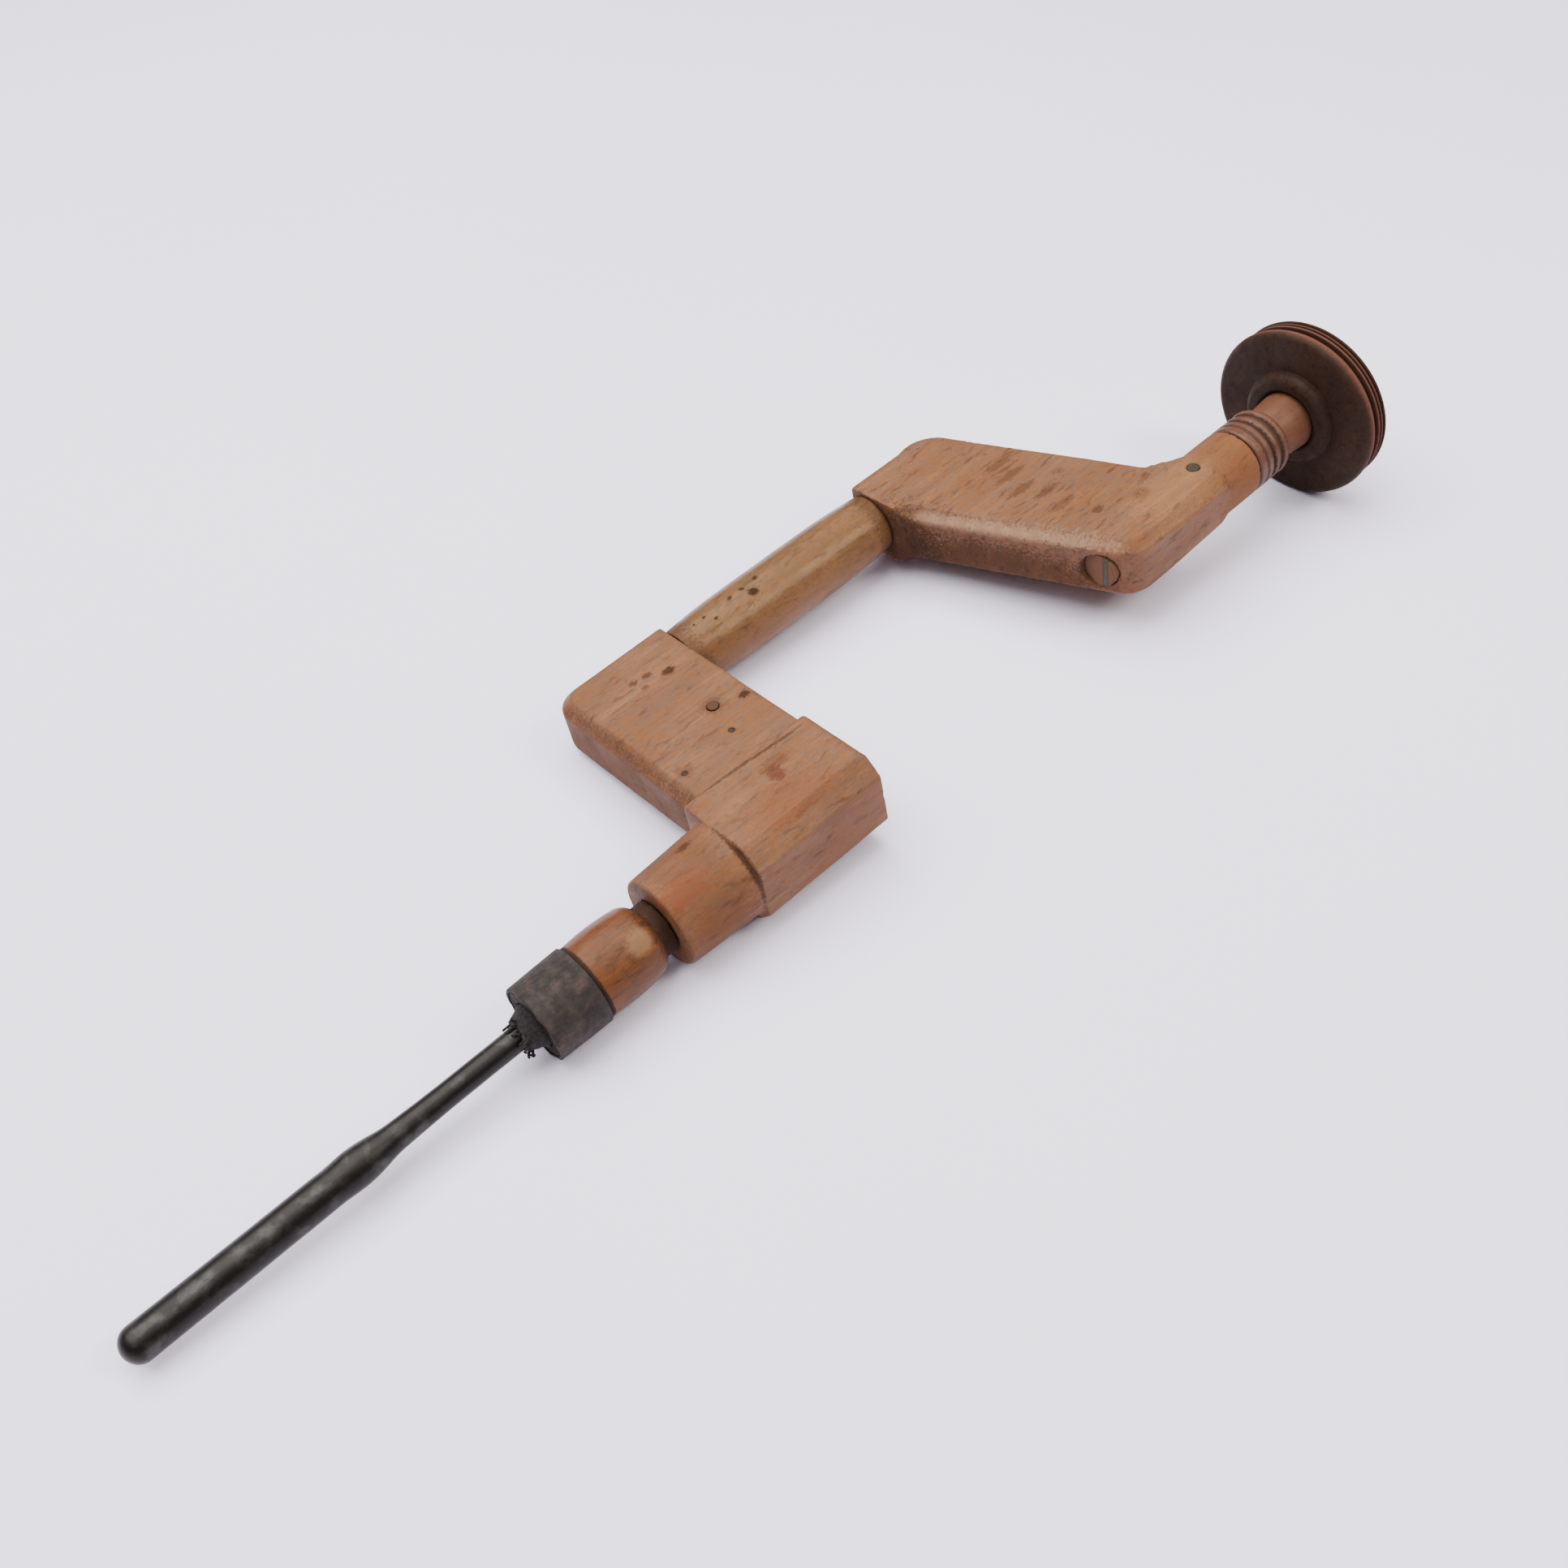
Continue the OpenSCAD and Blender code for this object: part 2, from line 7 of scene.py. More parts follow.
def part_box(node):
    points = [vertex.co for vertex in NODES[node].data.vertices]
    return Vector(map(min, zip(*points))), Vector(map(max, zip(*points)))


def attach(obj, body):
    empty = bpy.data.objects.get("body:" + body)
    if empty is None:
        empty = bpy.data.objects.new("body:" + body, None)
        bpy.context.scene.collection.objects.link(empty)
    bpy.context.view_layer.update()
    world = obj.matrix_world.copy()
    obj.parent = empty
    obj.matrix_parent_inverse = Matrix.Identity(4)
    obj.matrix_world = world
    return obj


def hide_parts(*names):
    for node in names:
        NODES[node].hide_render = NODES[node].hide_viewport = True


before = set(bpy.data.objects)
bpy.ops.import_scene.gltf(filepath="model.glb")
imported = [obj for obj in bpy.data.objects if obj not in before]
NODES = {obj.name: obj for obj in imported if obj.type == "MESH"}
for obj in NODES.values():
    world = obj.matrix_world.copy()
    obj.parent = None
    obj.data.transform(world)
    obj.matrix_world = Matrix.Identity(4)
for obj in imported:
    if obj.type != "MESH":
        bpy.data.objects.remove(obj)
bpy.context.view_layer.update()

MM = 0.001                     # the script's lengths are in millimetres, the scene is in metres


# ---------------------------------------------------------------- small helpers

def linear(hex_code):
    """Turns an sRGB hex colour into a linear one."""
    channels = [int(hex_code[i:i + 2], 16) / 255 for i in (1, 3, 5)]
    return tuple(c / 12.92 if c <= 0.04045 else ((c + 0.055) / 1.055) ** 2.4 for c in channels) + (1.0,)


def add_node(tree, kind, inputs=None, **settings):
    """Adds a node with its settings. An input is a plain value, or the socket it is linked from."""
    node = tree.nodes.new(kind)
    for name, value in settings.items():
        setattr(node, name, value)
    for name, value in (inputs or {}).items():
        if isinstance(value, bpy.types.NodeSocket):
            tree.links.new(value, node.inputs[name])
        else:
            node.inputs[name].default_value = value
    return node


# ---------------------------------------------------------------- materials

# The patterns in oiled wood: length along X, Y and Z in mm, detail, roughness, distortion. The grain runs along X.
# Real fibres and ray flecks are about 0.1 mm wide, too fine for the render, so they are drawn as coarse as they show.
WOOD_PATTERNS = {
    "fibres": ((14.0, 0.7, 0.7), 3, 0.6, 0.0),
    "rings": ((70.0, 3.6, 6.0), 2, 0.55, 0.5),
    "oil": ((34.0, 20.0, 20.0), 3, 0.55, 0.0),
    "wear": ((26.0, 15.0, 15.0), 3, 0.6, 0.0),
    "strokes": ((9.0, 2.7, 2.7), 3, 0.6, 0.6),
    "blotches": ((4.6, 3.2, 3.2), 4, 0.68, 0.4),
    "rays": ((3.4, 0.45, 0.45), 1, 0.5, 0.0),
    "crumbs": ((1.6, 1.1, 1.1), 3, 0.65, 0.0),
    "dents": ((9.0, 5.0, 5.0), 3, 0.55, 0.0),
    "chisel": ((0.8, 60.0, 60.0), 2, 0.6, 0.0),      # rings that the turner's tool left round the axis
}
GRAIN_TILT = (0.0, 0.03, 0.05)                       # the grain runs a little off the straight
CORNER_DIRT_AND_SHADE = "#24150d"
DIRT_AND_SHADE_REACH = 3.0                                     # mm, how far from an inner corner the dirt and the painted shade reach
EDGE_ROUND = 0.9                                     # mm, the rounding that light finds on a sharp edge


def oiled_wood(name, pale, middle, deep, warm, dull, stain, fleck="#3c2114", roughness=0.58, stain_share=0.5,
               grime_and_shade=0.8, seed=0.0, marks=(), ragged=1.8, gloss_level=0.22, shine="#fff4e8", relief_mm=0.1,
               turned=0.0):
    """Old hardwood, oiled and polished by hands. The eye gets long pale fibres and darker year rings, orange and
    greyish patches, short dark strokes, black deposits and painted shade in the corners, edges worn pale and dull
    with a painted highlight on them, and a shine that the old oil tints gold. The marks are knots, worm holes and
    stains, dull and with ragged rims, and some marks are painted shade, painted shadow and painted highlights."""
    material = bpy.data.materials.new(name)
    material.use_nodes = True
    tree = material.node_tree
    tree.nodes.clear()
    coords = add_node(tree, "ShaderNodeTexCoord").outputs["Object"]
    pattern = {}
    for step, (what, (size, detail, rough, distortion)) in enumerate(WOOD_PATTERNS.items()):
        place = add_node(tree, "ShaderNodeMapping", {
            "Vector": coords, "Location": (seed + step * 3, seed * 1.7, seed * 0.6 + step), "Rotation": GRAIN_TILT,
            "Scale": [1 / (s * MM) for s in size]})
        pattern[what] = add_node(tree, "ShaderNodeTexNoise", {
            "Vector": place.outputs["Vector"], "Scale": 1.0, "Detail": detail, "Roughness": rough,
            "Distortion": distortion}).outputs["Fac"]
    tone = add_node(tree, "ShaderNodeValToRGB", {"Fac": pattern["rings"]})
    tone.color_ramp.elements[0].position, tone.color_ramp.elements[0].color = 0.16, linear(deep)
    tone.color_ramp.elements[1].position, tone.color_ramp.elements[1].color = 0.86, linear(pale)
    tone.color_ramp.elements.new(0.5).color = linear(middle)
    colour = tone.outputs["Color"]
    # Each layer: the pattern, where in it the tint starts and where it is full, its strength, and the tint
    for what, start, end, depth, tint in (
            ("fibres", 0.36, 0.66, 0.28, pale), ("oil", 0.44, 0.66, 0.75, warm), ("wear", 0.46, 0.68, 0.65, dull),
            ("blotches", 0.49, 0.62, 0.65, dull), ("blotches", 0.47, 0.35, 0.6, warm),
            ("strokes", 0.54, 0.70, stain_share, stain), ("rays", 0.6, 0.74, 0.4, fleck),
            ("crumbs", 0.66, 0.78, 0.6, fleck)):
        share = add_node(tree, "ShaderNodeMapRange", {
            "Value": pattern[what], "From Min": start, "From Max": end, "To Max": depth},
            interpolation_type="SMOOTHSTEP")
        colour = add_node(tree, "ShaderNodeMix", {0: share.outputs["Result"], 6: colour, 7: linear(tint)},
                          data_type="RGBA").outputs[2]
    covered = 0.0
    for centre, radius, depth, tint in marks:
        apart = add_node(tree, "ShaderNodeVectorMath", {0: coords, 1: [c * MM for c in centre]},
                         operation="SUBTRACT")
        in_radii = add_node(tree, "ShaderNodeVectorMath", {
            0: apart.outputs["Vector"], 1: [1 / (r * MM) for r in radius]}, operation="MULTIPLY")
        length = add_node(tree, "ShaderNodeVectorMath", {0: in_radii.outputs["Vector"]}, operation="LENGTH")
        uneven = add_node(tree, "ShaderNodeMath", {0: pattern["crumbs"], 1: ragged, 2: length.outputs["Value"]},
                          operation="MULTIPLY_ADD")
        share = add_node(tree, "ShaderNodeMapRange", {
            "Value": uneven.outputs[0], "From Min": 0.55 + ragged / 2, "From Max": 1.2 + ragged / 2,
            "To Min": depth, "To Max": 0.0}, interpolation_type="SMOOTHSTEP")
        colour = add_node(tree, "ShaderNodeMix", {0: share.outputs["Result"], 6: colour, 7: linear(tint)},
                          data_type="RGBA").outputs[2]
        covered = add_node(tree, "ShaderNodeMath", {0: covered, 1: share.outputs["Result"]},
                           operation="MAXIMUM").outputs[0]
    # Dirt and painted shade gather in inner corners: the colour darkens as much as the corner hides the surface
    hollow = add_node(tree, "ShaderNodeAmbientOcclusion", {"Distance": DIRT_AND_SHADE_REACH * MM}, samples=6)
    dirt_and_shade = add_node(tree, "ShaderNodeMapRange", {
        "Value": hollow.outputs["AO"], "From Min": 0.3, "From Max": 0.85, "To Min": grime_and_shade, "To Max": 0.0},
        interpolation_type="SMOOTHSTEP")
    colour = add_node(tree, "ShaderNodeMix", {0: dirt_and_shade.outputs["Result"], 6: colour, 7: linear(CORNER_DIRT_AND_SHADE)},
                      data_type="RGBA").outputs[2]
    # An edge is worn pale and given a painted highlight where the rounded normal leaves the flat one, or where the
    # mesh has a ridge
    geometry = add_node(tree, "ShaderNodeNewGeometry")
    rounded = add_node(tree, "ShaderNodeBevel", {"Radius": EDGE_ROUND * MM}, samples=4)
    along = add_node(tree, "ShaderNodeVectorMath", {0: rounded.outputs["Normal"], 1: geometry.outputs["Normal"]},
                     operation="DOT_PRODUCT")
    rubbed_and_lit = add_node(tree, "ShaderNodeMapRange", {
        "Value": along.outputs["Value"], "From Min": 0.995, "From Max": 0.9, "To Max": 0.9},
        interpolation_type="SMOOTHSTEP")
    ridge = add_node(tree, "ShaderNodeMapRange", {
        "Value": geometry.outputs["Pointiness"], "From Min": 0.52, "From Max": 0.6},
        interpolation_type="SMOOTHSTEP")
    edge = add_node(tree, "ShaderNodeMath", {0: rubbed_and_lit.outputs["Result"], 1: ridge.outputs["Result"]},
                    operation="MAXIMUM")
    patchy = add_node(tree, "ShaderNodeMath", {0: edge.outputs[0], 1: pattern["wear"]}, operation="MULTIPLY")
    colour = add_node(tree, "ShaderNodeMix", {0: patchy.outputs[0], 6: colour, 7: linear(pale)},
                      data_type="RGBA").outputs[2]
    # Worn patches are duller than handled ones, and marks are dullest
    gloss = add_node(tree, "ShaderNodeMapRange", {
        "Value": pattern["wear"], "From Min": 0.3, "From Max": 0.75, "To Min": roughness - 0.08,
        "To Max": roughness + 0.14}, interpolation_type="SMOOTHSTEP")
    gloss = add_node(tree, "ShaderNodeMath", {0: covered, 1: 0.4, 2: gloss.outputs["Result"]},
                     operation="MULTIPLY_ADD", use_clamp=True)
    normal = rounded.outputs["Normal"]
    for what, strength, depth in (("fibres", 0.5, relief_mm), ("dents", 0.5, 0.45), ("chisel", 0.6, turned)):
        if depth:
            normal = add_node(tree, "ShaderNodeBump", {
                "Strength": strength, "Distance": depth * MM, "Height": pattern[what],
                "Normal": normal}).outputs["Normal"]
    shader = add_node(tree, "ShaderNodeBsdfPrincipled", {
        "Base Color": colour, "Roughness": gloss.outputs[0], "Normal": normal, "IOR": 1.5,
        "Specular IOR Level": gloss_level, "Specular Tint": linear(shine)})
    add_node(tree, "ShaderNodeOutputMaterial", {"Surface": shader.outputs["BSDF"]})
    return material


PIT_BLACK = "#16110f"


def blackened(name, base, light, rust, roughness, rust_share, scale_mm, metallic=0.75, relief_mm=0.25,
              patchy=0.11):
    """Forged iron left to darken, or leather that iron has blackened. The eye gets a brown-black skin with a dull
    shine where it is rubbed, rusty blooms that don't shine, and fine pits."""
    material = bpy.data.materials.new(name)
    material.use_nodes = True
    tree = material.node_tree
    tree.nodes.clear()
    coords = add_node(tree, "ShaderNodeTexCoord").outputs["Object"]
    pattern = {}
    for step, (what, size, detail, rough) in enumerate((
            ("mottle", (scale_mm, scale_mm, scale_mm), 5, 0.65),
            ("bloom", (scale_mm * 1.8, scale_mm * 1.4, scale_mm * 1.4), 4, 0.6),
            ("pits", (0.9, 0.7, 0.7), 3, 0.7))):
        place = add_node(tree, "ShaderNodeMapping", {
            "Vector": coords, "Location": (step * 4, step * 2, step * 7), "Scale": [1 / (s * MM) for s in size]})
        pattern[what] = add_node(tree, "ShaderNodeTexNoise", {
            "Vector": place.outputs["Vector"], "Scale": 1.0, "Detail": detail, "Roughness": rough}).outputs["Fac"]
    colour = linear(base)
    for what, start, end, depth, tint in (("mottle", 0.38, 0.68, 1.0, light), ("bloom", 0.52, 0.7, rust_share, rust),
                                          ("pits", 0.58, 0.72, 0.6, PIT_BLACK)):
        share = add_node(tree, "ShaderNodeMapRange", {
            "Value": pattern[what], "From Min": start, "From Max": end, "To Max": depth},
            interpolation_type="SMOOTHSTEP")
        colour = add_node(tree, "ShaderNodeMix", {0: share.outputs["Result"], 6: colour, 7: linear(tint)},
                          data_type="RGBA").outputs[2]
    gloss = add_node(tree, "ShaderNodeMapRange", {
        "Value": pattern["mottle"], "From Min": 0.3, "From Max": 0.75, "To Min": roughness + patchy,
        "To Max": roughness - patchy})
    metal = add_node(tree, "ShaderNodeMapRange", {
        "Value": pattern["bloom"], "From Min": 0.5, "From Max": 0.72, "To Min": metallic, "To Max": 0.1})
    pitted = add_node(tree, "ShaderNodeBump", {
        "Strength": 0.5, "Distance": relief_mm * MM, "Height": pattern["pits"]})
    hammered = add_node(tree, "ShaderNodeBump", {
        "Strength": 0.5, "Distance": 2 * relief_mm * MM, "Height": pattern["mottle"],
        "Normal": pitted.outputs["Normal"]})
    shader = add_node(tree, "ShaderNodeBsdfPrincipled", {
        "Base Color": colour, "Roughness": gloss.outputs["Result"], "Metallic": metal.outputs["Result"],
        "Normal": hammered.outputs["Normal"]})
    add_node(tree, "ShaderNodeOutputMaterial", {"Surface": shader.outputs["BSDF"]})
    return material


# Black for knots, worm holes and soot, and for painted shadow in creases
SOOT_AND_SHADOW = "#28150a"
BROWN_STAIN = "#3b2014"

# The tones of each wood. Its fibres are pale, its year rings deep and its strokes stained, on warm and dull patches.
BEECH = dict(pale="#7f583b", middle="#6a452d", deep="#573724", warm="#6a3f22", dull="#5e4435", stain="#3c2012")
HANDLED_BEECH = dict(
    pale="#795638", middle="#66472d", deep="#543922", warm="#64442b", dull="#563f2d", stain="#3a200f")
BEECH_END_GRAIN = dict(
    pale="#48301e", middle="#382314", deep="#28170c", warm="#38200f", dull="#332418", stain="#1a0f09")
PEAR = dict(pale="#6e4226", middle="#59321b", deep="#442311", warm="#5f3418", dull="#4a3021", stain="#261108")
FADED_PEAR = dict(pale="#664634", middle="#513326", deep="#3d2318", warm="#57321e", dull="#4a362d", stain="#25120a")
WALNUT = dict(pale="#332219", middle="#281b14", deep="#1c130d", warm="#2f1d13", dull="#261a15", stain="#0f0805")
OAK = dict(pale="#433d30", middle="#343025", deep="#262218", warm="#352e20", dull="#302e26", stain="#17130d")
DAMP_OAK = dict(pale="#3c3428", middle="#2a241b", deep="#1c1711", warm="#2c2419", dull="#2a2622", stain="#120d0a")

# A mark is its centre and its radii along X, Y and Z in mm, its strength, and its tint. Radii larger than the piece
# make a band round it or shade a whole side. A long straight mark is a row of short ones.
# The dark joint line where the lower arm meets the foot
JOINT_LINE = [((x, 19.0 - 0.095 * (x - 43.4), 17.0), (8, 0.75, 9), 0.5, "#24120a") for x in range(38, 86, 6)]
# The chamfer on the lower arm's front side, darkened with painted shade as it faces away from the light
SHADED_CHAMFER = [((38.0, y, 12.0), (2.6, 8, 3.0), 0.4, "#40271a") for y in range(28, 104, 9)]
# The chamfer on the upper arm's outer side, worn pale, and painted lighter with the light that falls on it
RUBBED_AND_LIT_CHAMFER = [((203.0 + 0.5 * step, 68.0 - step, 10.9), (6, 6.5, 3.1), 0.5, "#96765f")
                  for step in range(0, 71, 7)]
FOOT_MARKS = [
    ((64.0, 5.0, 19.5), (3.6, 4.6, 3), 0.6, "#43190f"),          # the reddish smear on the block's top
    ((67.5, 9.5, 19.5), (7, 3.4, 3), 0.4, "#4a2114"),
    ((58.0, -9.0, 19.5), (20, 11, 4), 0.35, "#6c3616"),
    ((20.7, 5.5, 17.1), (3.4, 2.2, 3), 0.8, SOOT_AND_SHADOW),               # the knot on the boss
    ((14.0, 0.0, 0.0), (15, 90, 90), 0.35, "#50301c"),
    ((8.0, -7.0, 15.0), (13, 7, 6), 0.4, "#6a2e14"),
    ((32.0, -11.0, 10.0), (1.2, 19, 20), 0.65, SOOT_AND_SHADOW),            # painted shadow in the crease where the boss meets the block
]
LOWER_ARM_MARKS = [
    ((76.9, 83.4, 13.5), (3.2, 2.2, 2), 0.85, SOOT_AND_SHADOW),             # the oval knot and the small ones beside it
    ((69.9, 88.1, 13.5), (2.4, 1.6, 2), 0.6, SOOT_AND_SHADOW),
    ((63.6, 88.9, 13.5), (2.2, 1.5, 2), 0.6, SOOT_AND_SHADOW),
    ((65.5, 83.6, 13.5), (1.8, 1.2, 2), 0.5, SOOT_AND_SHADOW),
    ((86.9, 49.6, 13.5), (2.8, 2.0, 2), 0.85, SOOT_AND_SHADOW),
    ((75.3, 54.6, 13.5), (5.5, 5.5, 3), 0.4, BROWN_STAIN),       # stains round the peg and the far nail
    ((46.3, 37.0, 13.5), (4, 4, 3), 0.35, BROWN_STAIN),
    ((34.0, 68.0, -4.0), (13, 80, 22), 0.3, "#3b2318"),          # painted shade over the front side
]
UPPER_ARM_MARKS = [
    ((264.9, 5.9, 14.5), (4.5, 3.6, 2), 0.65, BROWN_STAIN),
    ((246.9, 13.3, 14.5), (3.2, 2.4, 2), 0.65, BROWN_STAIN),
    ((202.7, 75.1, 14.5), (5, 3.6, 3), 0.5, "#44302f"),
    ((243.9, -9.0, 11.0), (6, 4.5, 4), 0.5, "#7c451f"),          # the orange heel
    ((246.0, 66.0, 14.5), (8, 2.6, 3), 0.5, BROWN_STAIN),        # the row of brown streaks on the arm's top
    ((243.0, 57.0, 14.5), (9, 2.4, 3), 0.5, BROWN_STAIN),
    ((239.0, 47.0, 14.5), (8, 2.6, 3), 0.55, BROWN_STAIN),
    ((244.0, 38.0, 14.5), (7, 2.2, 3), 0.5, BROWN_STAIN),
    ((241.0, 27.0, 14.5), (7, 2.4, 3), 0.45, BROWN_STAIN),
    ((211.0, 63.0, 11.0), (3, 3, 3), 0.8, BROWN_STAIN),          # the nick in the chamfer
    ((276.0, -2.0, 10.0), (26, 14, 12), 0.35, "#8a6340"),        # the neck and its collar, more golden
    ((307.0, 0.0, 0.0), (14, 90, 90), 0.45, "#6c4020"),
    ((214.0, 36.0, -7.0), (27, 62, 14), 0.6, "#2c160d"),         # painted shade on the outer side and on the end above the grip
    ((198.0, 78.0, -3.0), (16, 20, 19), 0.6, "#1c0d07"),
]
GRIP_MARKS = [
    ((128.8, 91.1, 13.1), (2.6, 2.2, 2.2), 1.0, SOOT_AND_SHADOW),           # the knot, and the worm holes round it
    ((126.1, 95.2, 14.1), (1.3, 1.1, 1.5), 0.9, SOOT_AND_SHADOW),
    ((134.0, 96.1, 14.2), (1.6, 1.2, 1.5), 0.9, SOOT_AND_SHADOW),
    ((119.5, 95.1, 14.1), (1.5, 1.1, 1.5), 0.9, SOOT_AND_SHADOW),
    ((105.6, 95.2, 14.1), (1.1, 0.9, 1.2), 0.9, SOOT_AND_SHADOW),
    ((108.8, 91.6, 13.3), (1.1, 0.9, 1.2), 0.9, SOOT_AND_SHADOW),
    ((100.1, 95.3, 14.1), (1.1, 0.9, 1.2), 0.9, SOOT_AND_SHADOW),
    # painted light along the grip's lower front side
    ((140.0, 84.0, -3.0), (70, 5, 11), 0.3, "#7a5238"),
    ((91.0, 96.5, 0.0), (8, 40, 40), 0.6, "#3a2014"),            # dirt at both ends
    ((198.0, 96.5, 0.0), (8, 40, 40), 0.6, "#3a2014"),
]
PAD_MARKS = [
    ((-33.0, 0.0, 0.0), (1.4, 40, 40), 0.9, "#120a06"),          # dirt along the ferrule
    ((-13.0, -9.0, 11.0), (5.5, 5, 5), 0.4, "#8a6a48"),          # a painted highlight, the pale round shine on the pad
    ((1.0, 0.0, 0.0), (9.5, 90, 90), 0.9, "#1a0d08"),            # painted shadow on the neck under the boss's lip
    ((-60.0, 0.0, 0.0), (22, 90, 90), 1.0, "#0d0907"),           # painted shade on the end grain inside the ferrule
]
SPINDLE_MARKS = [
    ((346.0, 0.0, 0.0), (18, 90, 90), 0.4, "#5e361d"),
    ((320.4, 0.0, 0.0), (1.0, 90, 90), 0.7, SOOT_AND_SHADOW),               # dirt and painted shade in the collar's grooves
    ((324.9, 0.0, 0.0), (1.5, 90, 90), 0.9, SOOT_AND_SHADOW),
    ((330.1, 0.0, 0.0), (1.5, 90, 90), 0.9, SOOT_AND_SHADOW),
    ((335.3, 0.0, 0.0), (1.5, 90, 90), 0.9, SOOT_AND_SHADOW),
    ((229.0, 0.0, 0.0), (14, 40, 40), 1.0, "#4a2c1a"),           # the end that shows in the arm's side
]
HEAD_MARKS = [
    ((362.0, 0.0, 0.0), (4.6, 999, 999), 0.8, "#633f34"),        # the rim, worn reddish with a painted highlight, and the ridges behind it
    ((371.0, 0.0, 0.0), (6, 999, 999), 0.6, "#3c251c"),
]

MATERIALS = {
    # Beech, sawn and planed by hand, then oiled: a tan ground that is dull on the flats, with painted shade darkening
    # the sides
    "foot_block": oiled_wood(
        "beech_sawn_and_oiled_foot", **BEECH, seed=0.0, marks=FOOT_MARKS + JOINT_LINE),
    "lower_arm": oiled_wood(
        "beech_planed_and_oiled_lower_arm", **BEECH, seed=2.3, marks=LOWER_ARM_MARKS + JOINT_LINE + SHADED_CHAMFER),
    "upper_arm": oiled_wood(
        "beech_planed_and_oiled_upper_arm", **BEECH, seed=5.1, stain_share=0.65, grime_and_shade=0.4,
        marks=UPPER_ARM_MARKS + RUBBED_AND_LIT_CHAMFER),
    # Beech inside the joint, never handled: the same tan without a mark
    "joint_tongue": oiled_wood("beech_end_grain_tongue", **BEECH, seed=7.7),
    # Beech, turned and polished by years of hands: the palest and glossiest wood, golden, with knots and worm holes
    "grip": oiled_wood(
        "beech_turned_and_hand_polished", **HANDLED_BEECH, seed=9.4, roughness=0.31, stain_share=0.5,
        gloss_level=0.22, shine="#ffe3bf", relief_mm=0.05, marks=GRIP_MARKS),
    # Pear, turned and oiled: close-grained and more orange, with a soft round shine, partly a painted highlight, and
    # fine rings from the tool
    "pad": oiled_wood(
        "pear_turned_and_oiled", **PEAR, seed=3.9, roughness=0.4, gloss_level=0.24, shine="#ffead2",
        relief_mm=0.05, turned=0.12, ragged=0.8, marks=PAD_MARKS),
    "head_spindle": oiled_wood(
        "pear_spindle_turned", **FADED_PEAR, seed=6.2, roughness=0.42, gloss_level=0.3, relief_mm=0.05, turned=0.2,
        marks=SPINDLE_MARKS),
    # Walnut, turned and waxed: nearly black brown, with a satin shine along the rim, partly a painted highlight, and
    # fine rings from the tool
    "head_disc": oiled_wood(
        "walnut_turned_and_waxed", **WALNUT, seed=8.8, fleck="#0b0604", roughness=0.58, gloss_level=0.1,
        relief_mm=0.05, turned=0.25, ragged=0.4, marks=HEAD_MARKS),
    # Oak, split with a knife: a coarse grey-green wedge, and a pin that the iron's damp has blackened
    "spindle_wedge": oiled_wood("oak_wedge_split", **OAK, seed=1.2),
    "neck_pin": oiled_wood("oak_pin_darkened", **DAMP_OAK, seed=2.9),
    # Beech, cut across: the peg shows darker end grain
    "tongue_peg": oiled_wood("beech_peg_end_grain", **BEECH_END_GRAIN, seed=4.4),
    # Iron, cut and hammered: small black nail heads
    "joint_nails": blackened(
        "iron_cut_nails", base="#1a120d", light="#2a1f18", rust="#3c2416", roughness=0.8, rust_share=0.6,
        scale_mm=1.5, metallic=0.2),
    # Iron, forged and rolled into a ring: mottled grey-brown with rusty blooms
    "ferrule": blackened(
        "iron_forged_ferrule", base="#1e1713", light="#2a211b", rust="#40261a", roughness=0.75, rust_share=0.6,
        scale_mm=3.2, metallic=0.3),
    # Tool steel, forged and filed: smooth, nearly black, with a long soft shine
    "bit": blackened(
        "steel_forged_and_filed", base="#191512", light="#1d1915", rust="#241912", roughness=0.4, rust_share=0.5,
        scale_mm=5.0, metallic=0.7, relief_mm=0.04, patchy=0.03),
    # Leather, wound round the tang and blackened by iron: dull, torn and fibrous
    "tang_packing": blackened(
        "leather_wound_and_blackened", base="#0e0b09", light="#1d1713", rust="#16100c", roughness=0.9,
        rust_share=0.4, scale_mm=1.2, metallic=0.0),
}
# The record's slot for each piece that stands for a CAD node
for node, material in MATERIALS.items():
    finish = NODES[node].data.materials
    finish.clear()
    finish.append(material)


# ---------------------------------------------------------------- shapes

def new_shape_tree(name, sizes):
    """A Geometry Nodes tree that takes a mesh and named sizes; returns the tree and its input sockets."""
    tree = bpy.data.node_groups.new(name, "GeometryNodeTree")
    tree.interface.new_socket(name="Geometry", in_out="INPUT", socket_type="NodeSocketGeometry")
    for size, kind in sizes.items():
        tree.interface.new_socket(name=size, in_out="INPUT", socket_type="NodeSocket" + kind)
    tree.interface.new_socket(name="Geometry", in_out="OUTPUT", socket_type="NodeSocketGeometry")
    return tree, add_node(tree, "NodeGroupInput").outputs


def finish_shape_tree(tree, sockets, geometry):
    """Every tree ends the same way: smooth, instances made real, and the material set."""
    smooth = add_node(tree, "GeometryNodeSetShadeSmooth", {"Geometry": geometry})
    real = add_node(tree, "GeometryNodeRealizeInstances", {"Geometry": smooth.outputs["Geometry"]})
    dressed = add_node(tree, "GeometryNodeSetMaterial", {
        "Geometry": real.outputs["Geometry"], "Material": sockets["Material"]})
    add_node(tree, "NodeGroupOutput", {"Geometry": dressed.outputs["Geometry"]})


